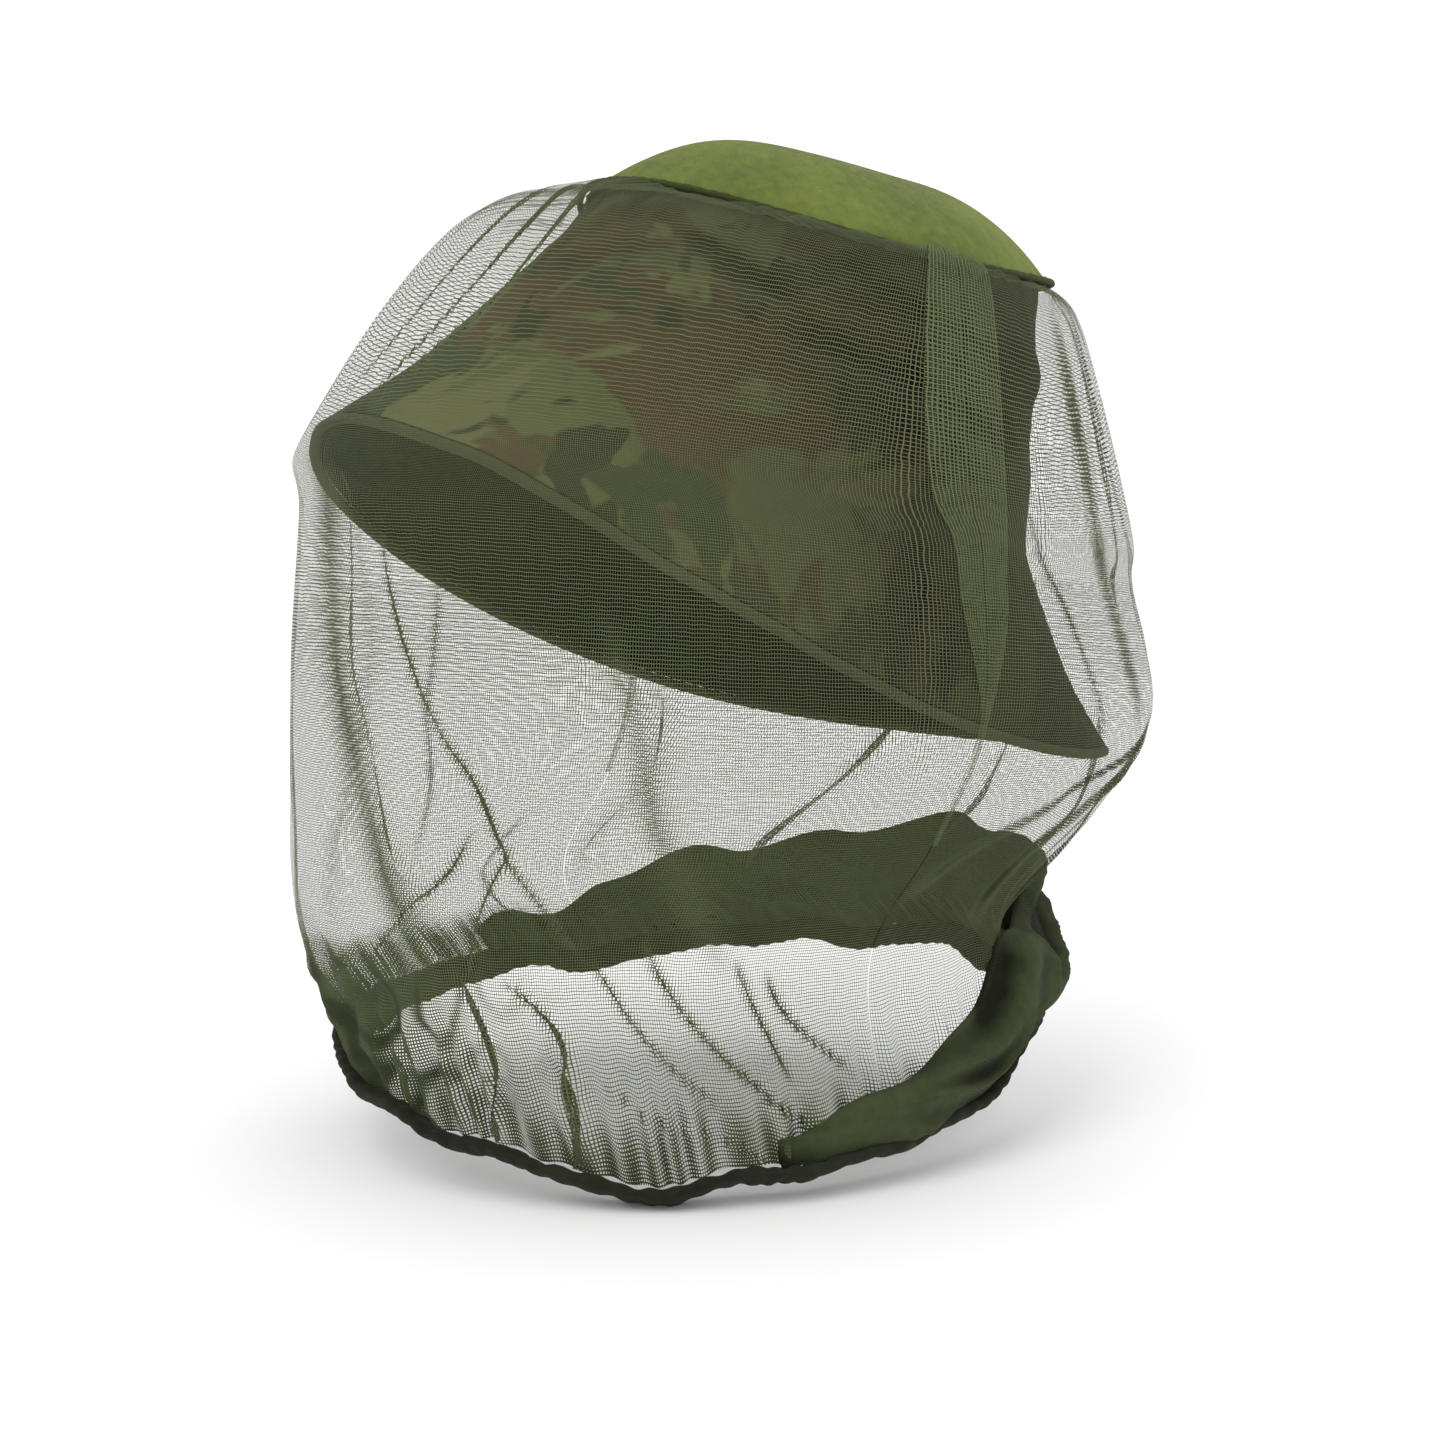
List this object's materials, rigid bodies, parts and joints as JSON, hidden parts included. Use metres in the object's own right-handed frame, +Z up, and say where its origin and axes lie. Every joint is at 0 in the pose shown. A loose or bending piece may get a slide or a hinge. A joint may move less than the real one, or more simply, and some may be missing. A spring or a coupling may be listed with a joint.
{
  "type": "beekeeping veil",
  "caption": "Head net with a cloth crown panel and an elastic hem, worn over a soft bucket hat whose brim holds the net off the face.",
  "frame": {"origin": "centre of the hat's head opening, at the lower edge of the crown wall", "axes": "+Z up as the veil is worn, -Y the way the wearer looks, +X the wearer's left; the head opening's front edge is raised 28 degrees in this frame, which is how the hat is worn"},
  "size_m": [0.2378, 0.2923, 0.3192],
  "materials": {
    "camouflage_cloth": "matt printed cotton twill",
    "hat_lining": "matt cotton",
    "crown_panel_cloth": "matt plain weave",
    "net_mesh": "fine see-through polyester mesh",
    "hem_cloth": "matt woven cloth",
    "elastic": "covered flat elastic"
  },
  "bodies": {
    "hat": {"hat_side_panel_left": "camouflage_cloth", "hat_side_panel_right": "camouflage_cloth", "hat_top_panel": "camouflage_cloth", "hat_brim_upper": "camouflage_cloth", "hat_brim_under": "camouflage_cloth", "hat_brim_binding": "camouflage_cloth", "hat_sweatband": "hat_lining", "hat_crown_seam_tape": "hat_lining"},
    "veil": {"veil_crown_panel": "crown_panel_cloth", "veil_crown_binding": "crown_panel_cloth", "veil_net_front": "net_mesh", "veil_net_back": "net_mesh", "veil_net_seam_left": "net_mesh", "veil_net_seam_right": "net_mesh"},
    "hem": {"hem_casing": "hem_cloth", "hem_elastic": "elastic", "nape_yoke": "hem_cloth"}
  },
  "joints": [
    {"name": "veil_lift", "type": "slide", "parent": "hat", "child": "veil", "axis": [0, 0, 1], "range_m": [0, 0.3], "deforming": ["veil_net_front", "veil_net_back", "veil_net_seam_left", "veil_net_seam_right", "hem_casing", "hem_elastic", "nape_yoke"]},
    {"name": "hem_raise", "type": "hinge", "parent": "veil", "child": "hem", "pos_m": [0, 0.0938, -0.1731], "axis": [-1, 0, 0], "range_deg": [0, 30], "deforming": ["veil_net_front", "veil_net_back", "veil_net_seam_left", "veil_net_seam_right"]}
  ]
}
